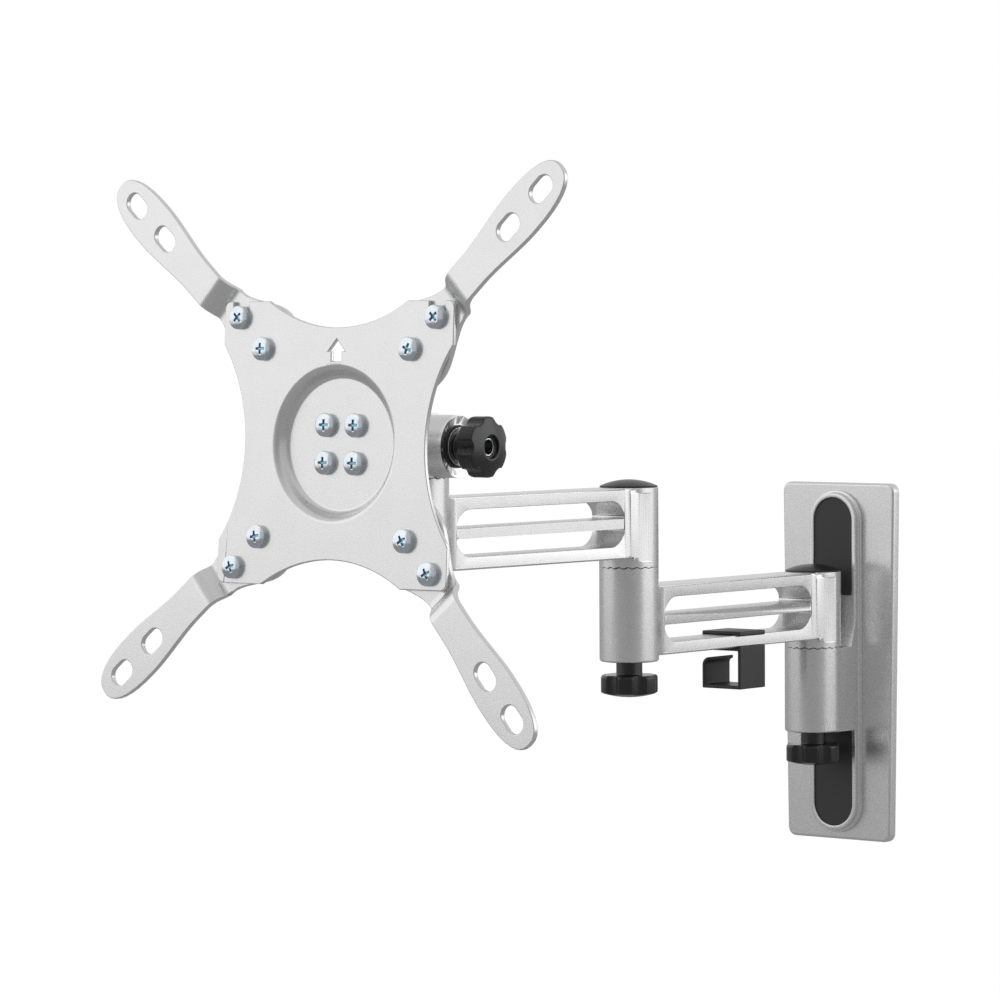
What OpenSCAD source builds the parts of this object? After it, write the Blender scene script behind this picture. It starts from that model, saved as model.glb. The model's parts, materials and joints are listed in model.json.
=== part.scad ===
// Full motion wall mount for a small television.
// Two slotted arms fold over one another on toothed joints that knobs clamp.
// Origin: middle of the wall plate's back face. +Y goes into the wall, +Z is up.

/* [Wall plate] */
// Height of the wall plate
plate_h = 162; // [155:1:200]
// Width of the wall plate at its top edge
plate_top_w = 61; // [56:0.5:80]
// Width of the wall plate at its bottom edge
plate_bottom_w = 56; // [52:0.5:80]
// Thickness of the wall plate
plate_t = 4.6; // [3.5:0.1:8]
// Corner radius of the wall plate
plate_corner_r = 4; // [2:0.5:8]
// Radius of the holes for the wall screws
wall_hole_r = 3.2; // [2:0.1:3.6]
// Distance of the inner wall screws from the middle
wall_hole_z = 40; // [39:0.5:46]

/* [Wall bracket] */
// Length of the raised pad on the wall plate
pad_h = 153; // [150:1:154]
// Width of the raised pad
pad_w = 24.8; // [24:0.2:28]
// How far the raised pad stands off the plate
pad_t = 4.4; // [4:0.1:7]
// How far the foot of the pad spreads on each side
foot_spread = 1.2; // [0.6:0.1:2.5]
// Height of the foot of the pad
foot_t = 1.6; // [1:0.1:2.5]
// Width of the rim round the covers
pad_rim = 2; // [1.4:0.1:3]
// Thickness of the two covers
cover_t = 1.6; // [1:0.1:2]
// How far the covers lie below the rim
cover_inset = 0.8; // [0.3:0.1:1.2]
// Distance of the wall joint's axis from the wall
wall_axis_out = 24.5; // [23.5:0.5:34]
// Length of the bracket's barrel
bracket_barrel_h = 38; // [30:0.5:40]

/* [Arms] */
// Distance between the two axes of an arm
arm_len = 136.9; // [110:0.1:220]
// Height of an arm's beam
beam_h = 30; // [28:0.2:40]
// Thickness of an arm's beam
beam_t = 17.5; // [14:0.5:24]
// Height of the top and bottom bars of an arm
bar_h = 5.3; // [4.5:0.1:8]
// Height of the middle bar of an arm
middle_bar_h = 4.2; // [3:0.1:7]
// Solid length between an axis and the window
window_end = 13.2; // [12.2:0.1:24]
// Radius of the barrels at the joints
barrel_r = 12.7; // [12:0.1:14]
// Radius that blends a beam into its barrels
blend_r = 16; // [6:0.5:24]
// Rounding of the beams' long edges
beam_edge_r = 0.8; // [0.5:0.1:2.4]
// Length of barrel between a toothed seam and the beam above it
collar_h = 4.1; // [3:0.1:8]
// Length of barrel between a beam and the toothed seam above it
riser_h = 8.2; // [4:0.1:12]
// Length of barrel below a beam at its outer end
barrel_drop = 2.2; // [1:0.1:5]
// Rounding of the barrels' lower edges
barrel_edge_r = 1.2; // [0.4:0.1:2]

/* [Toothed seams] */
// Number of teeth round a seam
teeth = 20; // [18:1:30]
// Half the height of a tooth
tooth_half_h = 0.25; // [0.15:0.05:0.4]
// Distance between the crests of a seam's two faces
seam_gap = 0.06; // [0.04:0.02:0.3]
// Radial width of the toothed ring
tooth_ring_w = 3.2; // [2:0.1:3.6]

/* [Clamping hardware] */
// Shank radius of the upright bolts
bolt_r = 4; // [3:0.5:4]
// Shank radius of the tilt bolt
tilt_bolt_r = 3; // [2.5:0.25:3]
// Wall thickness of the bushes
bush_t = 2; // [1.2:0.1:2.4]
// Thickness of the washers under the knobs
washer_t = 1.2; // [0.8:0.1:2]
// Running clearance of bolts in their bushes
fit = 0.05; // [0.03:0.01:0.08]
// Clearance of pieces that lie beside one another
slip = 0.1; // [0.05:0.01:0.2]
// Radius of the domed caps
cap_r = 12.4; // [10.5:0.1:12.6]
// Height of the domed caps
cap_h = 3.3; // [1.5:0.1:4]
// Height of the caps' straight rim
cap_rim = 0.6; // [0.2:0.1:1]

/* [Knobs] */
// Outer radius of a knob
knob_r = 12.3; // [11:0.1:16]
// Thickness of a knob's head
knob_t = 7.6; // [6:0.1:12]
// Height of a knob's domed end
knob_dome = 2; // [1:0.1:3]
// Number of lobes on a knob
lobes = 6; // [5:1:8]
// Radius of the scallops between the lobes
scallop_r = 4.6; // [3:0.1:7]
// Depth of the scallops
scallop_depth = 1.6; // [0.8:0.1:2.4]
// Radius of a knob's stem
stem_r = 5.6; // [5.4:0.1:7]
// Length of a knob's stem
stem_h = 5.6; // [3:0.1:9]
// Length of the tilt knob's stem
tilt_stem_h = 6.8; // [3:0.1:9]

/* [Swivel head] */
// Half the length of the level barrel
head_half_w = 20.1; // [19:0.1:26]
// Half the width of the slot for the lug
slot_half_w = 9; // [7:0.1:10]
// Thickness of the polished ring round the tilt knob's seat
bevel_t = 1.6; // [1.4:0.1:3]
// Radial width of the ring's sunk bevel
bevel_in = 3.5; // [2:0.1:4]
// Distance of the television plate's face from the tilt axis
face_out = 53.4; // [50:0.2:70]
// How far the plate's middle lies below the tilt axis
plate_drop = 0.9; // [0:0.1:4]
// Radius of the lug's upper half
lug_r = 13.3; // [11:0.1:14]
// Radius of the lug's lower half
lug_low_r = 6; // [5:0.1:6.5]
// Radius of the hub's foot
hub_r = 21; // [18:0.5:24]
// Thickness of the hub's foot
hub_t = 6; // [4:0.5:9]
// Thickness of the hub's web
web_t = 9; // [6:0.5:14]

/* [Television plate] */
// Thickness of the plate
tv_t = 2; // [1.5:0.1:3]
// Width over the plate's ears
tv_w = 117; // [114:0.5:126]
// Height over the plate's ears
tv_h = 113; // [111:0.5:120]
// Half the width of the waist between the side arcs
waist_w = 46; // [44:0.5:52]
// Half the height of the waist between the top and bottom arcs
waist_h = 46; // [44:0.5:52]
// Radius of the side arcs
side_arc_r = 68; // [60:1:90]
// Radius of the top and bottom arcs
top_arc_r = 64.5; // [58:0.5:90]
// Corner radius of the ears
ear_r = 3; // [1:0.25:3.5]
// Side of the large square of screws
square_big = 100; // [98:0.5:102]
// Side of the small square of screws
square_small = 75; // [73:0.5:77]
// Side of the middle square of screws
square_mid = 15; // [13:0.5:18]
// Width of the open notches at the upper corners
notch_w = 8; // [6:0.1:8.4]
// Radius of the dished middle at the plate's face
dish_r = 30; // [28:0.5:34]
// Depth of the dished middle
dish_d = 5; // [4:0.1:8]
// How much the dish narrows towards its floor
dish_draft = 3; // [1:0.1:4]
// Height of the arrow-shaped hole
arrow_h = 8.8; // [6:0.1:10]

/* [Extenders] */
// Thickness of the extenders
ext_t = 2.5; // [2:0.1:3.5]
// Half the width of an extender behind the plate
root_w = 17.8; // [16:0.1:20]
// Corner radius of an extender's inner end
root_r = 5; // [2:0.5:8]
// Half the width of an extender's neck
neck_w = 7.5; // [6:0.1:9]
// Half the width of an extender's outer end
tip_w = 10.1; // [8.5:0.1:13]
// Side of the square on which the outer slots lie
slot_square = 200; // [196:1:210]
// Distance between the two slots of an extender
slot_pitch = 20.8; // [18:0.2:24]
// Width of the slots
slot_w = 8; // [6:0.1:9]
// Length of the slots
slot_l = 12; // [10:0.1:14]
// How far the outer part stands in front of the plate's face
ext_front = 4; // [2:0.1:6]
// Swing of the upper left extender on its screws
swing_ul = -4; // [-4.5:0.5:4.5]
// Swing of the upper right extender
swing_ur = -1.5; // [-4.5:0.5:4.5]
// Swing of the lower left extender
swing_ll = -4.5; // [-4.5:0.5:4.5]
// Swing of the lower right extender
swing_lr = 4; // [-4.5:0.5:4.5]

/* [Screws] */
// Shank radius of the plate's screws
screw_r = 2.5; // [2:0.25:2.5]
// Head radius of the plate's screws
screw_head_r = 4.75; // [4.5:0.05:5]
// Head height of the plate's screws
screw_head_h = 3.7; // [2.5:0.1:4]
// Rounding of the screw heads
screw_edge_r = 1.25; // [0.5:0.05:2]
// Width of the nuts across their flats
nut_af = 8; // [7:0.5:9]
// Height of the nuts
nut_h = 4; // [3:0.5:5]

/* [Cable clip] */
// Thickness of the clip's strip
clip_t = 1.5; // [1:0.1:2]
// Length of the clip along the arm
clip_l = 19; // [12:0.5:30]
// How far the clip hangs below the beam
clip_drop = 18.4; // [14:0.2:26]
// Gap through which a cable is pushed in
clip_mouth = 3.2; // [2:0.1:6]
// Distance of the clip from the wall joint
clip_at = 60.8; // [58:0.2:90]

/* [Rest pose] */
// Turn of the upper arm at the elbow
elbow_turn = -1.3; // [-30:0.1:30]
// Turn of the swivel head on the upper arm
head_turn = 2.6; // [-30:0.1:30]
// Upward tilt of the television plate
tilt = 3.3; // [-15:0.1:15]
// Furthest tilt either way
tilt_most = 15; // [5:1:15]

/* [Hidden] */
$fn = 96;
eps = 0.02;
// how far a blend is let into the faces it joins
let_in = 0.04;
// half the least distance between the crests of a seam's two faces
seam_half = seam_gap / 2;
// upright places, from the lowest seam up
seam_wall_z = 7.7;
beam1_z = seam_wall_z + collar_h;
seam_elbow_z = beam1_z + beam_h + riser_h;
beam2_z = seam_elbow_z + collar_h;
seam_head_z = beam2_z + beam_h + riser_h;
tilt_z = seam_head_z + barrel_r + 0.1;
bracket_low_z = seam_wall_z - bracket_barrel_h;
nut_pocket_h = 9;
head_low_z = beam2_z - barrel_drop;
nut_seat_z = head_low_z + nut_pocket_h;
// pad and covers
pad_face = plate_t + pad_t;
pad_end_z = pad_h / 2 - pad_w / 2;
cover_w = pad_w - 2 * pad_rim;
cover_inner_z = -bracket_low_z;
cover_gap = 0.1;
pocket_d = pad_t - 0.8;
pocket_ledge = 1.4;
gusset_h = 10.5;
gusset_out = 3.4;
fixing_x = 7;
fixing_r = 2;
fixing_len = 8;
fixing_z = [-24, 21];
// clamping hardware
relief = 0.8;
hex_corner = 2 / sqrt(3);
bolt_af = 3.25 * bolt_r;
bolt_head_h = 1.3 * bolt_r;
tilt_bolt_af = 3.33 * tilt_bolt_r;
tilt_bolt_head_h = 1.33 * tilt_bolt_r;
plug_r = bolt_af * hex_corner / 2 + 1.5;
plug_h = 1.8;
bush_r = bolt_r + bush_t;
washer_r = 8;
insert_wall = 0.55;
insert_h = 8;
insert_mouth_r = 4.65;
insert_mouth_d = 2.2;
pocket_h = bolt_head_h + plug_h + 0.3;
tooth_ring_r = barrel_r - tooth_ring_w;
// tilt joint
lug_half_w = slot_half_w - 1;
bevel_rim = 0.3;
bevel_back = 0.4;
tilt_seat_r = barrel_r - bevel_rim - bevel_in - 0.2;
tilt_seat_t = bevel_t - bevel_back - 0.3;
tilt_washer_r = tilt_seat_r - 1;
tilt_washer_t = 0.4;
seat_x = head_half_w + bevel_back;
tilt_washer_x = seat_x + tilt_seat_t;
tilt_knob_x = tilt_washer_x + tilt_washer_t + slip;
lug_slope = tilt_most + 1;
lug_foot = lug_low_r / cos(lug_slope);
slot_floor = lug_foot + 0.35;
flange_r = 7;
flange_h = 2;
web_clear = barrel_r + 5.3;
hub_front = face_out - dish_d - tv_t;
// television plate
diagonal = sqrt(2);
cup_t = tv_t;
hole_r = screw_r + 0.2;
ext_back = tv_t + ext_t;
ramp_start = (tv_w + tv_h) / 2 / diagonal - ear_r * (diagonal - 1) + 0.7;
ramp_len = 0.8 * (ext_front + tv_t);
root_u = square_small / diagonal - 7.5;
root_l = 9;
neck_start = ramp_start;
neck_end = ramp_start + 16;
tip_start = slot_square / diagonal - 12.4;
tip_end = slot_square / diagonal + 12.6;
// exponent of the tips' curve: 2 is an ellipse, more is squarer
tip_power = 2.5;
screw_len = tv_t + ext_t + nut_h + 1;
screw_dome_r = 12;
cross_w = 0.9;
cross_l = 4.4;
cross_d = 1.4;
cross_middle_r = 0.9;
// how far each screw's cross is turned, in the order of face_places
cross_turns_small = [10, 0, 30, 70];
cross_turns_big = [20, 45, 25, 45];
// cable clip
clip_x = beam_t / 2 + slip + clip_t / 2;
clip_low_z = beam1_z - clip_drop + clip_t / 2;
clip_curl_z = beam1_z - slip - clip_t - clip_mouth;
clip_curl_r = 3.4;
clip_lip = 0.5;
clip_web_rise = 0.6;

// ---- places ----

module at_wall_joint() { translate([0, -wall_axis_out, 0]) children(); }

module at_elbow() { at_wall_joint() translate([0, -arm_len, 0]) rotate(elbow_turn) children(); }

module at_head() { at_elbow() translate([0, -arm_len, 0]) rotate(head_turn) children(); }

module at_tilt() { at_head() translate([0, 0, tilt_z]) children(); }

// tilted frame of the television plate, about the tilt axis
module at_plate() { at_tilt() rotate([-tilt, 0, 0]) children(); }

// plan frame on the plate's face: X right, Y up, Z out towards the television
module on_face() { at_plate() translate([0, -face_out, -plate_drop]) rotate([90, 0, 0]) children(); }

// extrudes a side view, drawn as (depth, height), to a width along X
module across(w) { rotate([90, 0, 90]) linear_extrude(w, center = true) children(); }

// lays a piece built up +Z along +X
module along_x(x) { translate([x, 0, 0]) rotate([0, 90, 0]) children(); }

// ---- shared shapes ----

module ring(outer, inner, h) {
    difference() {
        cylinder(r = outer, h = h);
        translate([0, 0, -1]) cylinder(r = inner, h = h + 2);
    }
}

module rounded_square(w, h, r) {
    square([w - 2 * r, h], center = true);
    square([w, h - 2 * r], center = true);
    for (x = [-1, 1], y = [-1, 1]) translate([x * (w / 2 - r), y * (h / 2 - r)]) circle(r);
}

module obround(w, l) {
    square([l - w, w], center = true);
    for (s = [-1, 1]) translate([s * (l - w) / 2, 0]) circle(w / 2);
}

// barrel from z0 to z1 with its lower edge rounded
module barrel(z0, z1, r = barrel_r, edge = barrel_edge_r) {
    translate([0, 0, z0]) rotate_extrude() {
        translate([0, edge]) square([r, z1 - z0 - edge]);
        square([r - edge, edge + eps]);
        translate([r - edge, edge]) circle(edge);
    }
}

// wedge-shaped spaces between the teeth, laid like spokes and open upwards
module tooth_spaces(phase) {
    pitch = 2 * PI * barrel_r / teeth;
    depth = 2 * tooth_half_h;
    flat = 0.2 * pitch;
    flank = 0.3 * pitch;
    // the sides run on above the teeth at the same slope
    over = 0.3;
    wide = flat / 2 + flank * (1 + over);
    for (i = [0:teeth - 1])
        rotate((i + phase) * 360 / teeth)
            rotate([90, 0, 90]) translate([0, 0, tooth_ring_r - 1]) linear_extrude(tooth_ring_w + 2)
                polygon([
                    [-flat / 2, -depth], [flat / 2, -depth],
                    [wide, over * depth], [-wide, over * depth]
                ]);
}

// toothed upper end of a barrel whose crests reach z
module crown_up(z) {
    difference() {
        children();
        translate([0, 0, z]) tooth_spaces(0.5);
        translate([0, 0, z - relief]) cylinder(r = tooth_ring_r, h = relief + 1);
    }
}

// toothed lower end of a barrel whose crests reach down to z
module crown_down(z) {
    difference() {
        children();
        translate([0, 0, z]) mirror([0, 0, 1]) tooth_spaces(0);
        translate([0, 0, z - 1]) cylinder(r = tooth_ring_r, h = relief + 1);
    }
}

// bore for a bush, with a sink for the washer under it
module bush_bore(low_z, seam_z, sink = washer_t) {
    translate([0, 0, low_z - 1]) cylinder(r = bush_r + eps, h = seam_z - low_z + 1);
    translate([0, 0, low_z - 1]) cylinder(r = washer_r + slip, h = sink + 1);
}

// sleeve in a lower barrel whose flange carries the barrel above
module flanged_bush(low_z, seam_z) {
    flange_z = seam_z - seam_half - relief;
    difference() {
        union() {
            translate([0, 0, low_z]) cylinder(r = bush_r, h = flange_z - low_z + eps);
            translate([0, 0, flange_z])
                cylinder(r = tooth_ring_r - slip, h = seam_gap + 2 * relief - slip);
        }
        translate([0, 0, low_z - 1]) cylinder(r = bolt_r + fit, h = seam_z - low_z + 4);
    }
}

// bore, hexagonal pocket and cap seat at the top of an upper barrel
module bolt_seat(top_z, seam_z) {
    translate([0, 0, seam_z - 1]) cylinder(r = bolt_r + fit, h = top_z - seam_z);
    translate([0, 0, top_z - pocket_h])
        cylinder(r = (bolt_af / 2 + slip) * hex_corner, h = pocket_h, $fn = 6);
    translate([0, 0, top_z - plug_h - 0.2]) cylinder(r = plug_r + slip, h = plug_h + 1);
}

module hex_bolt(r, af, head_h, len) {
    difference() {
        cylinder(r = af / 2 * hex_corner, h = head_h, $fn = 6);
        translate([0, 0, head_h - 0.4]) ring(af, af / 2 - 0.2, 1);
    }
    translate([0, 0, -len]) cylinder(r = r, h = len + eps);
}

module joint_bolt(top_z, low_z) {
    head_z = top_z - pocket_h;
    translate([0, 0, head_z]) hex_bolt(bolt_r, bolt_af, bolt_head_h, head_z - low_z);
}

// domed cap: its plug fills the mouth of the pocket
module domed_cap() {
    rise = cap_h - cap_rim;
    dome_r = (cap_r * cap_r + rise * rise) / (2 * rise);
    intersection() {
        translate([0, 0, cap_h - dome_r]) sphere(dome_r, $fn = 128);
        cylinder(r = cap_r, h = cap_h + 1);
    }
    translate([0, 0, -plug_h]) cylinder(r = plug_r, h = plug_h + eps);
}

// height of the step in an open knob's end
function mouth_z(stem) = stem + knob_t + knob_dome - insert_mouth_d;

// knob built up +Z: stem at 0, head above it, closed by a dome or open at the end
module knob(thread_r, stem = stem_h, open = false) {
    bore_r = thread_r + insert_wall + slip / 2;
    dome_r = (knob_r * knob_r + knob_dome * knob_dome) / (2 * knob_dome);
    full_h = stem + knob_t + knob_dome;
    difference() {
        intersection() {
            union() {
                cylinder(r = stem_r, h = stem + eps);
                translate([0, 0, stem]) cylinder(r = knob_r, h = knob_t + knob_dome);
            }
            translate([0, 0, full_h - dome_r]) sphere(dome_r, $fn = 128);
            union() {
                cylinder(r = stem_r, h = stem + 1);
                translate([0, 0, stem]) cylinder(r1 = knob_r - 0.8, r2 = knob_r + 20, h = 20.8);
            }
        }
        for (i = [0:lobes - 1])
            rotate((i + 0.5) * 360 / lobes)
                translate([knob_r + scallop_r - scallop_depth, 0, stem - 1])
                    cylinder(r = scallop_r, h = knob_t + knob_dome + 2);
        translate([0, 0, -1]) cylinder(r = bore_r, h = open ? full_h : stem + insert_h);
        if (open) translate([0, 0, mouth_z(stem)]) cylinder(r = insert_mouth_r, h = insert_mouth_d + 1);
    }
}

// threaded sleeve of a knob, from two millimetres below its head up to top_z
module knob_insert(thread_r, stem, top_z) {
    translate([0, 0, stem - 2]) ring(thread_r + insert_wall, thread_r + fit, top_z - stem + 2);
}

// pan head screw: head above 0, shank below, with a cross in the head
module pan_screw(len, turn = 0) {
    difference() {
        intersection() {
            translate([0, 0, screw_head_h]) mirror([0, 0, 1])
                barrel(0, screw_head_h, screw_head_r, screw_edge_r);
            translate([0, 0, screw_head_h - screw_dome_r]) sphere(screw_dome_r);
        }
        translate([0, 0, screw_head_h - cross_d]) {
            for (a = [0, 90])
                rotate(a + turn) translate([-cross_l / 2, -cross_w / 2, 0])
                    cube([cross_l, cross_w, cross_d + 1]);
            cylinder(r = cross_middle_r, h = cross_d + 1);
        }
    }
    translate([0, 0, -len]) cylinder(r = screw_r, h = len + eps);
}

// ---- wall mount ----

// outline with rounded corners whose sides lean in towards the bottom
module plate_outline() {
    lean = atan((plate_top_w - plate_bottom_w) / 2 / plate_h);
    difference() {
        polygon([
            [-plate_top_w / 2, plate_h / 2], [plate_top_w / 2, plate_h / 2],
            [plate_bottom_w / 2, -plate_h / 2], [-plate_bottom_w / 2, -plate_h / 2]
        ]);
        for (s = [0, 1]) mirror([s, 0]) {
            corner_cut(plate_top_w, lean);
            mirror([0, 1]) corner_cut(plate_bottom_w, -lean);
        }
    }
}

// what the rounding takes off the plate's upper right corner
module corner_cut(width, lean) {
    r = plate_corner_r;
    corner = [width / 2, plate_h / 2];
    middle = corner - [r / tan(45 - lean / 2), r];
    difference() {
        polygon([
            middle, [middle[0], corner[1] + 1], corner + [1, 1],
            middle + (r + 1) * [cos(lean), -sin(lean)]
        ]);
        translate(middle) circle(r);
    }
}

module wall_screw_places() {
    for (s = [-1, 1], z = [wall_hole_z, pad_end_z]) translate([0, 0, s * z]) children();
}

module fixing_places() {
    for (x = [-1, 1], z = fixing_z) translate([x * fixing_x, 0, z]) children();
}

module wall_plate() {
    color("silver") difference() {
        rotate([90, 0, 0]) linear_extrude(plate_t) plate_outline();
        wall_screw_places() rotate([90, 0, 0]) translate([0, 0, -1])
            cylinder(r = wall_hole_r, h = plate_t + 2);
        fixing_places() rotate([90, 0, 0]) {
            translate([0, 0, -1]) cylinder(r = fixing_r + slip, h = plate_t + 2);
            translate([0, 0, -eps])
                cylinder(r1 = 2 * fixing_r + slip, r2 = fixing_r + slip, h = fixing_r + eps);
        }
    }
}

module pad_outline(grow = 0) {
    w = pad_w + 2 * grow;
    square([w, 2 * pad_end_z], center = true);
    for (s = [-1, 1]) translate([0, s * pad_end_z]) circle(w / 2);
}

// outline of a cover: round outer end and straight inner end
module cover_outline(shrink = 0) {
    w = cover_w - 2 * shrink;
    r = 1.2;
    z0 = cover_inner_z + shrink;
    translate([0, pad_end_z]) circle(w / 2);
    translate([-w / 2, z0 + r]) square([w, pad_end_z - z0 - r]);
    translate([-w / 2 + r, z0]) square([w - 2 * r, r + eps]);
    for (s = [-1, 1]) translate([s * (w / 2 - r), z0 + r]) circle(r);
}

module cover_pockets() {
    for (s = [0, 1]) mirror([0, s, 0]) {
        translate([0, 0, pad_face - cover_inset - cover_t]) linear_extrude(10) cover_outline();
        translate([0, 0, pad_face - pocket_d]) linear_extrude(10) cover_outline(pocket_ledge);
    }
}

// pad and D-shaped barrel in one casting
module wall_bracket() {
    half_w = pad_w / 2;
    color("silver") at_wall_joint() crown_up(seam_wall_z - seam_half) difference() {
        union() {
            translate([0, wall_axis_out, 0]) rotate([90, 0, 0]) difference() {
                union() {
                    translate([0, 0, plate_t]) linear_extrude(pad_t) pad_outline();
                    translate([0, 0, plate_t]) linear_extrude(foot_t) pad_outline(foot_spread);
                }
                cover_pockets();
            }
            barrel(bracket_low_z, seam_wall_z - seam_half);
            translate([-half_w, 0, bracket_low_z])
                cube([pad_w, wall_axis_out - plate_t, bracket_barrel_h - seam_half]);
            // sloping gusset that joins the barrel's top to the pad
            translate([0, 0, seam_wall_z - seam_half]) difference() {
                translate([0, wall_axis_out - pad_face, 0]) across(pad_w)
                    polygon([[0, -eps], [-gusset_out, -eps], [0, gusset_h], [1, gusset_h], [1, -eps]]);
                cylinder(r = barrel_r + 3 * slip, h = gusset_h + 1);
            }
        }
        bush_bore(bracket_low_z, seam_wall_z);
        translate([0, wall_axis_out, 0]) {
            wall_screw_places() rotate([90, 0, 0]) cylinder(r = wall_hole_r, h = pad_face + 1);
            fixing_places() rotate([90, 0, 0]) cylinder(r = fixing_r + fit, h = fixing_len);
        }
    }
}

module bracket_screws() {
    color("silver") fixing_places() rotate([90, 0, 0]) {
        cylinder(r1 = 2 * fixing_r, r2 = fixing_r, h = fixing_r);
        cylinder(r = fixing_r, h = fixing_len - 0.5);
    }
}

module cover() {
    color("dimgray") rotate([90, 0, 0]) translate([0, 0, pad_face - cover_inset - cover_t])
        linear_extrude(cover_t) cover_outline(cover_gap);
}

module upper_cover() { cover(); }

module lower_cover() { mirror([0, 0, 1]) cover(); }

module wall_bush() {
    color("white") at_wall_joint() flanged_bush(bracket_low_z + washer_t + eps, seam_wall_z);
}

module joint_washer(low_z) {
    color("gainsboro") translate([0, 0, low_z]) ring(washer_r, bolt_r + slip, washer_t);
}

module wall_washer() { at_wall_joint() joint_washer(bracket_low_z); }

// brass sleeve of a closed knob
module closed_insert() { knob_insert(bolt_r, stem_h, stem_h + insert_h - 2); }

module knob_below(low_z) {
    translate([0, 0, low_z - slip]) mirror([0, 0, 1]) children();
}

module wall_knob() {
    color("dimgray") at_wall_joint() knob_below(bracket_low_z) knob(bolt_r);
}

module wall_knob_insert() {
    color("goldenrod") at_wall_joint() knob_below(bracket_low_z) closed_insert();
}

// ---- arms ----

// long bar with rounded long edges, from the origin along -Y
module beam_block() {
    r = beam_edge_r;
    translate([0, 0, beam_h / 2]) rotate([90, 0, 0]) linear_extrude(arm_len) rounded_square(beam_t, beam_h, r);
}

// patch that runs a beam's face smoothly into the barrel at the origin
module barrel_blend() {
    y = beam_t / 2 + blend_r;
    s = sqrt(pow(barrel_r + blend_r, 2) - y * y);
    k = barrel_r / (barrel_r + blend_r);
    for (side = [-1, 1])
        linear_extrude(beam_h - 2 * beam_edge_r) difference() {
            polygon([[0, 0], [side * y * k, -s * k], [side * (y - blend_r), -s], [0, -s]]);
            translate([side * (y - let_in), -s]) circle(blend_r);
        }
}

// two slots with a bar between them, round at the window's outer corners
module arm_window() {
    window_h = beam_h - 2 * bar_h;
    r = window_h / 2;
    corner = 1;
    mid = middle_bar_h / 2;
    inner_x = arm_len / 2 - window_end;
    // where the round end meets the edge of the middle bar, drawn in by the corner
    end_x = inner_x - r + sqrt(pow(r - corner, 2) - pow(mid + corner, 2));
    translate([0, -arm_len / 2, beam_h / 2]) across(beam_t + 4) difference() {
        union() {
            square([2 * (inner_x - r), window_h], center = true);
            for (s = [-1, 1]) translate([s * (inner_x - r), 0]) circle(r);
        }
        square([arm_len, middle_bar_h], center = true);
        for (s = [0, 1], t = [0, 1]) mirror([s, 0]) mirror([0, t])
            difference() {
                translate([end_x, 0]) square([r, mid + corner]);
                translate([end_x, mid + corner]) circle(corner);
            }
    }
}

// one arm: cap and bolt seat at the wall end, bush bore at the outer end
module arm(beam_z, seam_z, next_seam_z, sink) {
    top_z = beam_z + beam_h;
    low_z = beam_z - barrel_drop;
    crown_down(seam_z + seam_half)
        translate([0, -arm_len, 0]) crown_up(next_seam_z - seam_half) translate([0, arm_len, 0])
            difference() {
                union() {
                    translate([0, 0, beam_z]) {
                        beam_block();
                        translate([0, 0, beam_edge_r]) {
                            barrel_blend();
                            translate([0, -arm_len, 0]) rotate(180) barrel_blend();
                        }
                    }
                    translate([0, 0, seam_z + seam_half])
                        cylinder(r = barrel_r, h = top_z - seam_z - seam_half);
                    translate([0, -arm_len, 0]) barrel(low_z, next_seam_z - seam_half);
                }
                translate([0, 0, beam_z]) arm_window();
                bolt_seat(top_z, seam_z);
                translate([0, -arm_len, 0]) bush_bore(low_z, next_seam_z, sink);
            }
}

module lower_arm() {
    color("silver") at_wall_joint() arm(beam1_z, seam_wall_z, seam_elbow_z, washer_t);
}

module wall_bolt() {
    color("gainsboro") at_wall_joint() joint_bolt(beam1_z + beam_h, bracket_low_z - stem_h - 4);
}

module wall_cap() {
    color("dimgray") at_wall_joint() translate([0, 0, beam1_z + beam_h]) domed_cap();
}

module elbow_bush() {
    color("white") at_wall_joint() translate([0, -arm_len, 0])
        flanged_bush(beam1_z - barrel_drop + washer_t + eps, seam_elbow_z);
}

module elbow_washer() {
    at_wall_joint() translate([0, -arm_len, 0]) joint_washer(beam1_z - barrel_drop);
}

module upper_arm() {
    color("silver") at_elbow() arm(beam2_z, seam_elbow_z, seam_head_z, nut_pocket_h);
}

module elbow_bolt() {
    color("gainsboro") at_elbow()
        joint_bolt(beam2_z + beam_h, beam1_z - barrel_drop - stem_h - 4);
}

module elbow_cap() {
    color("dimgray") at_elbow() translate([0, 0, beam2_z + beam_h]) domed_cap();
}

module elbow_knob() {
    color("dimgray") at_elbow() knob_below(beam1_z - barrel_drop) knob(bolt_r);
}

module elbow_knob_insert() {
    color("goldenrod") at_elbow() knob_below(beam1_z - barrel_drop) closed_insert();
}

// ---- swivel head ----

module head_bush() {
    color("white") at_elbow() translate([0, -arm_len, 0])
        flanged_bush(nut_seat_z + eps, seam_head_z);
}

module head_washer() {
    at_elbow() translate([0, -arm_len, 0]) joint_washer(nut_seat_z - washer_t);
}

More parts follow.
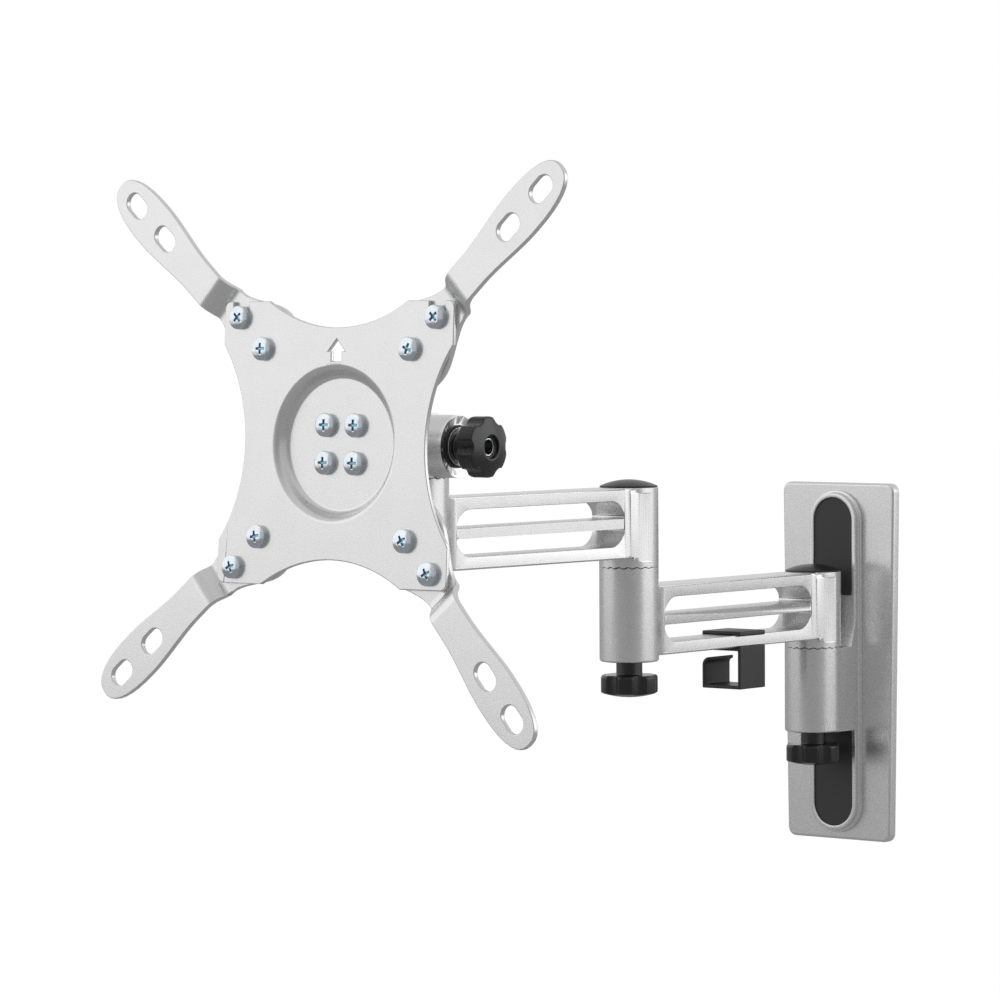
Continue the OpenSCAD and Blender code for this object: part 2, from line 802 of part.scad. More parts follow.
module swivel_head() {
    foot_z = seam_head_z + seam_half;
    color("silver") at_head() crown_down(foot_z) difference() {
        union() {
            translate([0, 0, foot_z]) cylinder(r = barrel_r, h = tilt_z - foot_z);
            difference() {
                translate([0, 0, tilt_z]) along_x(-head_half_w)
                    cylinder(r = barrel_r, h = 2 * head_half_w);
                translate([0, 0, foot_z - 10]) cylinder(r = barrel_r + 1, h = 10);
            }
        }
        translate([-slot_half_w, -2 * barrel_r, tilt_z - slot_floor])
            cube([2 * slot_half_w, 4 * barrel_r, 4 * barrel_r]);
        translate([0, 0, foot_z - 1]) cylinder(r = bolt_r + fit, h = barrel_r);
        translate([0, 0, tilt_z - slot_floor - flange_h - slip])
            cylinder(r = flange_r + slip, h = flange_h + 1);
        translate([0, 0, tilt_z]) {
            along_x(-head_half_w - 1) cylinder(r = tilt_bolt_r + fit, h = 2 * head_half_w + 2);
            along_x(-head_half_w - 1) rotate(30)
                cylinder(r = (tilt_bolt_af / 2 + slip) * hex_corner,
                    h = tilt_bolt_head_h + plug_h + 1.3, $fn = 6);
            along_x(-head_half_w - 1) cylinder(r = plug_r + slip, h = plug_h + 1.2);
        }
    }
}

module head_stud() {
    top_z = tilt_z - slot_floor;
    color("gainsboro") at_head() {
        translate([0, 0, top_z - flange_h]) cylinder(r = flange_r, h = flange_h);
        translate([0, 0, head_low_z + 1]) cylinder(r = bolt_r, h = top_z - head_low_z - 1.5);
    }
}

module head_nut() {
    h = nut_pocket_h - washer_t - 1.2;
    color("gainsboro") at_head() translate([0, 0, head_low_z + 1.1]) difference() {
        cylinder(r = bolt_af / 2 * hex_corner, h = h, $fn = 6);
        translate([0, 0, -1]) cylinder(r = bolt_r + fit, h = h + 2);
    }
}

module tilt_bolt() {
    head_x = head_half_w - plug_h - 0.3;
    color("gainsboro") at_tilt() mirror([1, 0, 0]) along_x(head_x - tilt_bolt_head_h)
        rotate(30)
            hex_bolt(tilt_bolt_r, tilt_bolt_af, tilt_bolt_head_h,
                head_x - tilt_bolt_head_h + tilt_knob_x + tilt_stem_h + 1);
}

module tilt_cap() {
    color("dimgray") at_tilt() mirror([1, 0, 0]) along_x(head_half_w) domed_cap();
}

module friction_washers() {
    t = slot_half_w - lug_half_w - slip;
    color("dimgray") at_tilt() for (s = [0, 1]) mirror([s, 0, 0])
        along_x(lug_half_w + slip / 2) ring(lug_low_r + 0.2, tilt_bolt_r + fit, t);
}

// ring with a flat floor and a conical bevel that sinks towards it
module bevel_ring() {
    d = bevel_t - bevel_back;
    over = 0.3;
    rim_r = barrel_r - bevel_rim;
    color("gainsboro") at_tilt() along_x(head_half_w) difference() {
        cylinder(r = barrel_r, h = bevel_t);
        translate([0, 0, bevel_back])
            cylinder(r1 = rim_r - bevel_in, r2 = rim_r + bevel_in * over / d, h = d + over);
        translate([0, 0, -1]) cylinder(r = tilt_bolt_r + fit, h = bevel_t + 2);
    }
}

module tilt_seat() {
    color("dimgray") at_tilt() along_x(seat_x) ring(tilt_seat_r, tilt_bolt_r + fit, tilt_seat_t);
}

module tilt_washer() {
    color("gainsboro") at_tilt() along_x(tilt_washer_x)
        ring(tilt_washer_r, tilt_bolt_r + fit, tilt_washer_t);
}

module at_tilt_knob() { at_tilt() along_x(tilt_knob_x) children(); }

module tilt_knob() { color("dimgray") at_tilt_knob() knob(tilt_bolt_r, tilt_stem_h, true); }

module tilt_knob_insert() {
    color("gainsboro") at_tilt_knob() knob_insert(tilt_bolt_r, tilt_stem_h, mouth_z(tilt_stem_h));
}

// ---- television plate ----

// side view of the lug: round above, cut on a slope below so that it clears the head
module lug_profile() {
    reach = 2 * lug_r;
    rise = reach * tan(lug_slope);
    intersection() {
        circle(lug_r);
        polygon([[0, -lug_foot], [reach, rise - lug_foot], [reach, reach], [-reach, reach],
            [-reach, rise - lug_foot]]);
    }
}

// side view of the web between the lug and the hub's foot
module web_profile() {
    low = 13;
    polygon([
        [0, -lug_foot], [-web_clear, web_clear * tan(lug_slope) - lug_foot], [-web_clear, -low],
        [-hub_front + hub_t / 2, -low - plate_drop], [-hub_front + hub_t / 2, lug_r + 1],
        [0, lug_r - 0.6]
    ]);
}

module tilt_hub() {
    foot_y = hub_front - hub_t;
    color("silver") at_plate() difference() {
        union() {
            across(2 * lug_half_w) lug_profile();
            across(web_t) web_profile();
            // level rib that widens towards the foot once it is clear of the head
            translate([0, 0, 1]) linear_extrude(5) for (s = [0, 1]) mirror([s, 0])
                polygon([[0, 0], [lug_half_w, 0], [lug_half_w, -barrel_r - 1],
                    [0.75 * hub_r, -foot_y - 1], [0, -foot_y - 1]]);
            translate([0, -foot_y, -plate_drop]) rotate([90, 0, 0]) cylinder(r = hub_r, h = hub_t);
        }
        along_x(-2 * lug_r) cylinder(r = tilt_bolt_r + fit, h = 4 * lug_r);
        translate([0, -hub_front - 1, -plate_drop]) square_places(square_mid)
            rotate([-90, 0, 0]) cylinder(r = screw_r + fit, h = hub_t + 2);
    }
}

// the four corners of a square, on an upright plane
module square_places(side) {
    for (x = [-1, 1], z = [-1, 1]) translate([x * side / 2, 0, z * side / 2]) children();
}

// the four corners of a square, on the plate's face
module face_places(side) {
    for (x = [-1, 1], y = [-1, 1]) translate([x * side / 2, y * side / 2, 0]) children();
}

module tv_outline() {
    difference() {
        rounded_square(tv_w, tv_h, ear_r);
        for (s = [-1, 1]) {
            translate([s * (waist_w + side_arc_r), 0]) circle(side_arc_r);
            translate([0, s * (waist_h + top_arc_r)]) circle(top_arc_r);
            translate([s * square_big / 2, square_big / 2]) {
                circle(notch_w / 2);
                translate([-notch_w / 2, 0]) square([notch_w, tv_h]);
            }
        }
    }
}

module arrow() {
    head = 0.48 * arrow_h;
    stem = 0.28 * arrow_h;
    polygon([
        [-head, 0.45 * arrow_h], [0, arrow_h], [head, 0.45 * arrow_h], [stem, 0.45 * arrow_h],
        [stem, 0], [-stem, 0], [-stem, 0.45 * arrow_h]
    ]);
}

module television_plate() {
    slope = dish_draft / dish_d;
    floor_r = dish_r - dish_draft;
    color("gainsboro") on_face() difference() {
        union() {
            translate([0, 0, -tv_t]) linear_extrude(tv_t) tv_outline();
            translate([0, 0, -dish_d - cup_t])
                cylinder(r1 = floor_r + cup_t - 0.6, r2 = dish_r + cup_t - 0.6, h = dish_d + eps);
        }
        translate([0, 0, -dish_d])
            cylinder(r1 = floor_r, r2 = dish_r + slope, h = dish_d + 1);
        translate([0, waist_h - arrow_h - 4.6, -tv_t - 1]) linear_extrude(tv_t + 2) arrow();
        translate([0, 0, -dish_d - cup_t - 1]) {
            face_places(square_mid) cylinder(r = hole_r, h = dish_d + cup_t + 2);
            face_places(square_small) cylinder(r = hole_r, h = dish_d + cup_t + 2);
            for (x = [-1, 1]) translate([x * square_big / 2, -square_big / 2, 0])
                cylinder(r = hole_r, h = dish_d + cup_t + 2);
        }
    }
}

// smooth rise from 0 to 1 while t runs from 0 to 1
function ease(t) = let (k = max(0, min(1, t))) k * k * (3 - 2 * k);

// half the width of an extender between its inner end and its tip
function ext_half(u) = root_w
    + (neck_w - root_w) * ease((u - root_u - root_l) / (neck_start - root_u - root_l))
    + (tip_w - neck_w) * ease((u - neck_end) / (tip_start - neck_end));

// plan of an extender along its own diagonal, which is +X here
module extender_outline() {
    edge = concat(
        [for (a = [0:15:75]) [root_u + root_r * (1 - cos(a)), root_w + root_r * (sin(a) - 1)]],
        [for (k = [0:0.04:1]) let (u = root_u + root_l + k * (tip_start - root_u - root_l))
            [u, ext_half(u)]],
        [for (a = [10:10:90]) [
            tip_start + (tip_end - tip_start) * pow(sin(a), 2 / tip_power),
            tip_w * pow(cos(a), 2 / tip_power)
        ]]);
    last = len(edge) - 1;
    difference() {
        polygon(concat(edge, [for (i = [last - 1:-1:0]) [edge[i][0], -edge[i][1]]]));
        translate([square_small / diagonal, 0]) circle(hole_r);
        translate([square_big / diagonal, 0]) rotate(90) obround(2 * hole_r, 9);
        for (i = [0, 1]) translate([slot_square / diagonal - i * slot_pitch, 0])
            obround(slot_w, slot_l);
    }
}

// section along the diagonal: flat behind the plate, then joggled out past its corner
module extender_section() {
    bend = ext_t * tan(atan2(ext_front + tv_t, ramp_len) / 2);
    front_x = ramp_start + ramp_len;
    polygon([
        [0, -tv_t], [ramp_start, -tv_t], [front_x, ext_front], [tip_end + 1, ext_front],
        [tip_end + 1, ext_front - ext_t], [front_x + bend, ext_front - ext_t],
        [ramp_start + bend, -ext_back], [0, -ext_back]
    ]);
}

module extender(turn, swing) {
    pivot = square_small / diagonal;
    color("gainsboro") on_face() rotate(turn) translate([pivot, 0, 0]) rotate(swing)
        translate([-pivot, 0, 0]) intersection() {
            translate([0, 0, -2 * ext_back]) linear_extrude(4 * ext_back) extender_outline();
            rotate([90, 0, 0]) linear_extrude(4 * root_w, center = true) extender_section();
        }
}

module extender_upper_left() { extender(135, -swing_ul); }

module extender_upper_right() { extender(45, swing_ur); }

module extender_lower_left() { extender(225, swing_ll); }

module extender_lower_right() { extender(315, -swing_lr); }

module centre_screws() {
    color("gainsboro") on_face() translate([0, 0, -dish_d])
        face_places(square_mid) pan_screw(tv_t + hub_t - 1);
}

module plate_screws() {
    color("gainsboro") on_face() for (i = [0:3]) {
        corner = [i < 2 ? -1 : 1, i % 2 == 0 ? -1 : 1, 0] / 2;
        translate(square_small * corner) pan_screw(screw_len, cross_turns_small[i]);
        translate(square_big * corner) pan_screw(screw_len, cross_turns_big[i]);
    }
}

module plate_nuts() {
    color("gainsboro") on_face() for (side = [square_small, square_big])
        translate([0, 0, -ext_back - nut_h]) face_places(side) difference() {
            cylinder(r = nut_af / 2 * hex_corner, h = nut_h, $fn = 6);
            translate([0, 0, -1]) cylinder(r = screw_r + fit, h = nut_h + 2);
        }
}

// ---- cable clip ----

// section of one folded strip: a lip and two plates round the arm's lower bar,
// then a hook below it whose far wall curls back at its top
module clip_section() {
    half = clip_t / 2;
    out = clip_x + half;
    in = clip_x - half;
    bar_top = beam1_z + bar_h;
    over = bar_top + slip;
    under = beam1_z - slip;
    middle = [clip_curl_r - out, clip_curl_z - clip_curl_r];
    polygon(concat(
        [[out, bar_top - clip_lip], [out, over + clip_t], [-out, over + clip_t],
            [-out, under - clip_t], [in, under - clip_t], [in, clip_low_z + half],
            [-in, clip_low_z + half]],
        [for (a = [0:15:90]) middle + (clip_curl_r - clip_t) * [-cos(a), sin(a)]],
        [for (a = [90:-15:0]) middle + clip_curl_r * [-cos(a), sin(a)]],
        [[-out, clip_low_z - half], [out, clip_low_z - half], [out, under + clip_web_rise],
            [in, under + clip_web_rise], [in, under], [-in, under], [-in, over],
            [in, over], [in, bar_top - clip_lip]]));
}

module cable_clip() {
    color("dimgray") at_wall_joint() translate([0, clip_l / 2 - clip_at, 0])
        rotate([90, 0, 0]) linear_extrude(clip_l) clip_section();
}

wall_plate();
wall_bracket();
bracket_screws();
upper_cover();
lower_cover();
wall_bush();
wall_washer();
lower_arm();
wall_bolt();
wall_cap();
wall_knob();
wall_knob_insert();
elbow_bush();
elbow_washer();
upper_arm();
elbow_bolt();
elbow_cap();
elbow_knob();
elbow_knob_insert();
head_bush();
head_washer();
swivel_head();
head_stud();
head_nut();
tilt_bolt();
tilt_cap();
friction_washers();
bevel_ring();
tilt_seat();
tilt_washer();
tilt_knob();
tilt_knob_insert();
tilt_hub();
centre_screws();
television_plate();
extender_upper_left();
extender_upper_right();
extender_lower_left();
extender_lower_right();
plate_screws();
plate_nuts();
cable_clip();
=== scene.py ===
# Full motion television wall mount: finishes, studio and camera around the CAD frame
import json
import math

import bmesh
import bpy
from mathutils import Matrix, Vector
from mathutils.bvhtree import BVHTree
from mathutils.geometry import intersect_point_line


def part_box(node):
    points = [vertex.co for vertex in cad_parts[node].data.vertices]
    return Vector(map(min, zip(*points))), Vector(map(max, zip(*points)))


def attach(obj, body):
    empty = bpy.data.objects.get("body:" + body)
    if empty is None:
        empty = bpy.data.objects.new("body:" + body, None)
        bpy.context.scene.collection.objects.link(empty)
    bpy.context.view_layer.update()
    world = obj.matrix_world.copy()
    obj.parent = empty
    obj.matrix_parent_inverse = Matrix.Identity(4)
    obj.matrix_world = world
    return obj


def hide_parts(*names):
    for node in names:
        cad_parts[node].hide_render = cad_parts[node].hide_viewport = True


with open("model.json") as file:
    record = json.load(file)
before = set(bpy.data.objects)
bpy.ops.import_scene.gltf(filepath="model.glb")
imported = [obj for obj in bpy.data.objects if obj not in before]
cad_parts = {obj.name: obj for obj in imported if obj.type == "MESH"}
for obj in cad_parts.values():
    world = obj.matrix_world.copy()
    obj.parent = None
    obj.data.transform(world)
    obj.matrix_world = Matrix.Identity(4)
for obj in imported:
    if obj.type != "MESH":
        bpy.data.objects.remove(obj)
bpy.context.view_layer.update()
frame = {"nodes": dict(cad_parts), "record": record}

mm = 0.001
scene = bpy.context.scene
record = frame["record"]
bodies = record["behaviour"]["bodies"]
nodeBody = {node: body for body, nodes in bodies.items() for node in nodes}
mounts = {mount["name"]: mount for mount in record["mounts"]}
joints = {joint["name"]: joint for joint in record["behaviour"]["joints"]}

# the camera stands to the right of the mount, a little above it, with a long lens
view = {
    "place": (1.19643, -1.74025, 0.15853),
    "azimuth": 38.742, "down": 2.305, "roll": -0.291,  # degrees
    "lens": 167.2, "film": 36,  # millimetres
    "farthest": 50,
}


def makeCamera(view):
    turn, down, roll = (math.radians(view[key]) for key in ("azimuth", "down", "roll"))
    forward = Vector((
        -math.sin(turn) * math.cos(down), math.cos(turn) * math.cos(down), -math.sin(down)))
    level = Vector((math.cos(turn), math.sin(turn), 0))
    upright = level.cross(forward)
    right = level * math.cos(roll) + upright * math.sin(roll)
    up = upright * math.cos(roll) - level * math.sin(roll)
    camera = bpy.data.objects.new("camera", bpy.data.cameras.new("camera"))
    camera.data.lens = view["lens"]
    camera.data.sensor_width = view["film"]
    camera.data.clip_end = view["farthest"]
    turned = Matrix((right, up, -forward)).transposed().to_4x4()
    camera.matrix_world = Matrix.Translation(view["place"]) @ turned
    scene.collection.objects.link(camera)
    scene.camera = camera


makeCamera(view)
print("camera ready")

room = {
    "toViewer": (0.626, -0.780, 0),
    "toRight": (0.780, 0.626, 0),
    # brightness of the walls, against the cosine of the angle from the viewer's side
    "bands": [
        (-1.0, 0.75), (-0.6, 0.6), (-0.3, 0.7), (0.3, 0.75),
        (0.65, 0.58), (0.9, 0.3), (1.0, 0.2),
    ],
    "rightBias": 0.06,  # how much brighter the right side is
    "overhead": 0.6,  # brightness straight above
    "mirrored": 0.1,  # how much of the white background shows in metal
}
ground = {
    "drop": 0.42, "side": 30,
    "colour": 0.35,  # as light from the floor reaches the mount
    "seen": 0.9,  # as the camera sees it
    "white": 0.8, "glow": 1.12,  # share and strength of the plain white in it
}
# soft boxes: the middle of each, its width and height, and how bright its face is
softBoxes = {
    "left": {"place": (-1.15, -1.15, 0.5), "size": (1.8, 1.1), "bright": 0.5},
    "right": {"place": (1.2, 0.5, 0.4), "size": (1.5, 0.9), "bright": 0.85},
}
boxAim = (0, -0.2)  # where every box faces, level with its own middle


def addNode(tree, kind, **settings):
    made = tree.nodes.new(kind)
    for name, value in settings.items():
        setattr(made, name, value)
    return made


def mathNode(tree, operation, *values):
    made = addNode(tree, "ShaderNodeMath", operation=operation)
    for socket, value in zip(made.inputs, values):
        if isinstance(value, (int, float)):
            socket.default_value = value
        else:
            tree.links.new(value, socket)
    return made.outputs[0]


def grey(value):
    return (value, value, value, 1)


# how much of the plain white a ray sees
def backgroundRays(tree, seen, mirrored):
    path = addNode(tree, "ShaderNodeLightPath").outputs
    other = mathNode(tree, "ADD", path["Is Glossy Ray"], path["Is Transmission Ray"])
    direct = mathNode(tree, "MULTIPLY", path["Is Camera Ray"], seen)
    return mathNode(tree, "MULTIPLY_ADD", other, mirrored, direct)


def makeRoom(room):
    world = bpy.data.worlds.new("room")
    scene.world = world
    world.use_nodes = True
    tree = world.node_tree
    tree.nodes.clear()
    coordinate = addNode(tree, "ShaderNodeTexCoord")

    def along(direction):
        dot = addNode(tree, "ShaderNodeVectorMath", operation="DOT_PRODUCT")
        tree.links.new(coordinate.outputs["Generated"], dot.inputs[0])
        dot.inputs[1].default_value = direction
        return dot.outputs["Value"]

    # the ramp runs from 0 to 1, so the cosine and the brightness are scaled to fit it
    ramp = addNode(tree, "ShaderNodeValToRGB")
    ramp.color_ramp.interpolation = "EASE"
    brightest = max(value for _, value in room["bands"])
    elements = ramp.color_ramp.elements
    while len(elements) < len(room["bands"]):
        elements.new(0.5)
    for element, (cosine, value) in zip(elements, room["bands"]):
        element.position = (cosine + 1) / 2
        element.color = grey(value / brightest)
    cosine = along(room["toViewer"])
    tree.links.new(mathNode(tree, "MULTIPLY_ADD", cosine, 0.5, 0.5), ramp.inputs[0])
    walls = mathNode(tree, "MULTIPLY", ramp.outputs[0], brightest)
    walls = mathNode(tree, "MULTIPLY_ADD", along(room["toRight"]), room["rightBias"], walls)
    height = mathNode(tree, "POWER", mathNode(tree, "MAXIMUM", along((0, 0, 1)), 0), 2)
    # sockets of a mix node: 0 is the share, 2 and 3 take numbers, 6 and 7 colours
    dome = addNode(tree, "ShaderNodeMix")
    tree.links.new(height, dome.inputs[0])
    tree.links.new(walls, dome.inputs[2])
    dome.inputs[3].default_value = room["overhead"]

    plain = addNode(tree, "ShaderNodeMix")
    tree.links.new(backgroundRays(tree, 1, room["mirrored"]), plain.inputs[0])
    tree.links.new(dome.outputs[0], plain.inputs[2])
    plain.inputs[3].default_value = 1
    background = addNode(tree, "ShaderNodeBackground")
    background.inputs["Color"].default_value = grey(1)
    tree.links.new(plain.outputs[0], background.inputs["Strength"])
    output = addNode(tree, "ShaderNodeOutputWorld")
    tree.links.new(background.outputs[0], output.inputs[0])


def makeGround(ground):
    bm = bmesh.new()
    bmesh.ops.create_grid(bm, x_segments=1, y_segments=1, size=ground["side"] / 2)
    bmesh.ops.translate(bm, verts=bm.verts, vec=(0, 0, -ground["drop"]))
    mesh = bpy.data.meshes.new("floor")
    bm.to_mesh(mesh)
    bm.free()
    floor = bpy.data.objects.new("floor", mesh)
    scene.collection.objects.link(floor)
    material = bpy.data.materials.new("pale floor")
    material.use_nodes = True
    tree = material.node_tree
    tree.nodes.clear()
    diffuse = addNode(tree, "ShaderNodeBsdfDiffuse")
    isSeen = addNode(tree, "ShaderNodeLightPath").outputs["Is Camera Ray"]
    shade = mathNode(
        tree, "MULTIPLY_ADD", isSeen, ground["seen"] - ground["colour"], ground["colour"])
    tree.links.new(shade, diffuse.inputs["Color"])
    glow = addNode(tree, "ShaderNodeEmission")
    glow.inputs["Strength"].default_value = ground["glow"]
    mix = addNode(tree, "ShaderNodeMixShader")
    tree.links.new(backgroundRays(tree, ground["white"], room["mirrored"]), mix.inputs[0])
    tree.links.new(diffuse.outputs[0], mix.inputs[1])
    tree.links.new(glow.outputs[0], mix.inputs[2])
    output = addNode(tree, "ShaderNodeOutputMaterial")
    tree.links.new(mix.outputs[0], output.inputs[0])
    mesh.materials.append(material)


def makeSoftBox(name, box):
    width, height = box["size"]
    lamp = bpy.data.lights.new(name, "AREA")
    lamp.shape = "RECTANGLE"
    lamp.size, lamp.size_y = width, height
    lamp.energy = box["bright"] * math.pi * width * height
    made = bpy.data.objects.new(name + " soft box", lamp)
    away = Vector(box["place"]) - Vector((*boxAim, box["place"][2]))
    turned = away.to_track_quat("Z", "Y").to_matrix().to_4x4()
    made.matrix_world = Matrix.Translation(box["place"]) @ turned
    made.visible_camera = False
    scene.collection.objects.link(made)


scene.view_settings.view_transform = "Standard"
makeRoom(room)
makeGround(ground)
for name, box in softBoxes.items():
    makeSoftBox(name, box)
print("room ready")

# what all the finishes share
allFinishes = {
    "noise": (0.3, 0.7),  # nearly all of the noise lies between these
    "coatRoughness": 0.2,
    "bumpHeight": 0.3,  # of the grain's size
}


def makeFinish(look):
    material = bpy.data.materials.new(look["name"])
    material.use_nodes = True
    tree = material.node_tree
    shader = tree.nodes["Principled BSDF"]
    coordinate = addNode(tree, "ShaderNodeTexCoord")

    def noise(size, detail):
        made = addNode(tree, "ShaderNodeTexNoise")
        made.inputs["Scale"].default_value = 1 / size
        made.inputs["Detail"].default_value = detail
        tree.links.new(coordinate.outputs["Object"], made.inputs["Vector"])
        return made.outputs["Fac"]

    def spread(source, low, high):
        made = addNode(tree, "ShaderNodeMapRange")
        least, most = allFinishes["noise"]
        ends = {"From Min": least, "From Max": most, "To Min": low, "To Max": high}
        for name, value in ends.items():
            made.inputs[name].default_value = value
        tree.links.new(source, made.inputs["Value"])
        return made.outputs["Result"]

    grain = noise(look["grain"], 2)
    mottle = noise(look["mottle"], 3)
    sparkle = spread(grain, 1 - look["sparkle"], 1 + look["sparkle"])
    shade = mathNode(tree, "ADD", sparkle, spread(mottle, -look["cloud"], look["cloud"]))
    level = addNode(tree, "ShaderNodeCombineColor")
    for socket in level.inputs:
        tree.links.new(shade, socket)
    tint = addNode(tree, "ShaderNodeMix", data_type="RGBA", blend_type="MULTIPLY")
    tint.inputs[0].default_value = 1
    tint.inputs[6].default_value = (*look["colour"], 1)
    tree.links.new(level.outputs[0], tint.inputs[7])
    tree.links.new(tint.outputs[2], shader.inputs["Base Color"])
    tree.links.new(spread(grain, *look["roughness"]), shader.inputs["Roughness"])
    shader.inputs["Metallic"].default_value = look["metallic"]
    shader.inputs["Coat Weight"].default_value = look.get("coat", 0)
    shader.inputs["Coat Roughness"].default_value = allFinishes["coatRoughness"]
    bump = addNode(tree, "ShaderNodeBump")
    bump.inputs["Strength"].default_value = look["bump"]
    bump.inputs["Distance"].default_value = look["grain"] * allFinishes["bumpHeight"]
    tree.links.new(grain, bump.inputs["Height"])
    tree.links.new(bump.outputs[0], shader.inputs["Normal"])
    return material


# grain and mottle are sizes, sparkle and cloud the shares by which they change the colour
castSilver = makeFinish({
    "name": "silver paint on castings",
    "colour": (0.80, 0.80, 0.80), "metallic": 0.85, "roughness": (0.24, 0.32),
    "grain": 0.45 * mm, "mottle": 9 * mm, "sparkle": 0.05, "cloud": 0.02, "bump": 0.1,
})
sheetSilver = makeFinish({
    "name": "silver paint on sheet",
    "colour": (0.80, 0.80, 0.80), "metallic": 0.8, "roughness": (0.24, 0.31),
    "grain": 0.5 * mm, "mottle": 14 * mm, "sparkle": 0.04, "cloud": 0.015, "bump": 0.12,
})
coverGrey = makeFinish({
    "name": "moulded cover",
    "colour": (0.045, 0.045, 0.046), "metallic": 0, "roughness": (0.46, 0.54),
    "grain": 0.35 * mm, "mottle": 6 * mm, "sparkle": 0.06, "cloud": 0.03, "bump": 0.2,
})
knobBlack = makeFinish({
    "name": "moulded knob",
    "colour": (0.007, 0.007, 0.0075), "metallic": 0, "roughness": (0.2, 0.3), "coat": 0.3,
    "grain": 0.35 * mm, "mottle": 5 * mm, "sparkle": 0.15, "cloud": 0.05, "bump": 0.2,
})
capBlack = makeFinish({
    "name": "moulded cap",
    "colour": (0.007, 0.007, 0.0075), "metallic": 0, "roughness": (0.26, 0.34),
    "grain": 0.3 * mm, "mottle": 5 * mm, "sparkle": 0.1, "cloud": 0.04, "bump": 0.12,
})
clipBlack = makeFinish({
    "name": "black paint on the clip",
    "colour": (0.03, 0.03, 0.031), "metallic": 0, "roughness": (0.32, 0.44),
    "grain": 0.4 * mm, "mottle": 5 * mm, "sparkle": 0.12, "cloud": 0.05, "bump": 0.2,
})
zincSteel = makeFinish({
    "name": "bright zinc",
    "colour": (0.68, 0.73, 0.78), "metallic": 1, "roughness": (0.10, 0.16),
    "grain": 0.6 * mm, "mottle": 3 * mm, "sparkle": 0.04, "cloud": 0.06, "bump": 0.06,
})
blueZinc = makeFinish({
    "name": "bluish zinc of the crosses",
    "colour": (0.22, 0.42, 0.55), "metallic": 1, "roughness": (0.22, 0.32),
    "grain": 0.6 * mm, "mottle": 3 * mm, "sparkle": 0.06, "cloud": 0.08, "bump": 0.06,
})
polishedSteel = makeFinish({
    "name": "polished steel",
    "colour": (0.86, 0.86, 0.86), "metallic": 1, "roughness": (0.18, 0.24),
    "grain": 0.6 * mm, "mottle": 5 * mm, "sparkle": 0.02, "cloud": 0.02, "bump": 0.02,
})
blackSteel = makeFinish({
    "name": "blackened steel",
    "colour": (0.02, 0.02, 0.021), "metallic": 0.6, "roughness": (0.4, 0.5),
    "grain": 0.4 * mm, "mottle": 3 * mm, "sparkle": 0.08, "cloud": 0.06, "bump": 0.08,
})
whiteNylon = makeFinish({
    "name": "nylon",
    "colour": (0.72, 0.71, 0.66), "metallic": 0, "roughness": (0.41, 0.49),
    "grain": 0.5 * mm, "mottle": 4 * mm, "sparkle": 0.02, "cloud": 0.03, "bump": 0.1,
})
turnedBrass = makeFinish({
    "name": "turned brass",
    "colour": (0.70, 0.55, 0.28), "metallic": 1, "roughness": (0.24, 0.32),
    "grain": 0.4 * mm, "mottle": 4 * mm, "sparkle": 0.04, "cloud": 0.04, "bump": 0.08,
})
print("finishes ready")

# what all the pieces share
allPieces = {
    "merge": 0.002 * mm,  # corners nearer than this become one
    "flatten": 0.4,  # degrees within which flat faces are joined
    "least": 24,  # degrees from which an edge takes one of its piece's own roundings
    "sharp": 38,  # degrees from which any other edge is rounded
    "steps": 2,
    "shortest": 0.05 * mm,  # edges shorter than this aren't rounded
}
# a rounding that strays this share of its width from the surface is taken back, with those near it
strays = {"tries": 5, "share": 0.45, "near": 2}


def middle(edge):
    return (edge.verts[0].co + edge.verts[1].co) / 2


def bends(edge, least):
    return edge.is_manifold and edge.calc_face_angle(0) > math.radians(least)


def distanceTo(edge, point):
    first, second = (vert.co for vert in edge.verts)
    along = max(0, min(1, intersect_point_line(point, first, second)[1]))
    return (first.lerp(second, along) - point).length


def bevelEdges(bm, edges, width, steps):
    bmesh.ops.bevel(
        bm, geom=edges, offset=width, offset_type="OFFSET", segments=steps, profile=0.5,
        affect="EDGES", clamp_overlap=False, loop_slide=True, material=-1)


# rounds edges, and leaves those sharp whose rounding would run off the surface
def roundEdges(bm, edges, width, steps):
    surface = BVHTree.FromBMesh(bm)
    bm.edges.index_update()
    bm.edges.ensure_lookup_table()
    chosen = [edge.index for edge in edges]
    for _ in range(strays["tries"]):
        trial = bm.copy()
        trial.edges.ensure_lookup_table()
        bevelEdges(trial, [trial.edges[index] for index in chosen], width, steps)
        nearest = [surface.find_nearest(vert.co) for vert in trial.verts]
        trial.free()
        stray = [spot[0] for spot in nearest if spot[3] > strays["share"] * width]
        if not stray:
            break
        chosen = [index for index in chosen if strays["near"] * width < min(
            distanceTo(bm.edges[index], spot) for spot in stray)]
    bevelEdges(bm, [bm.edges[index] for index in chosen], width, steps)


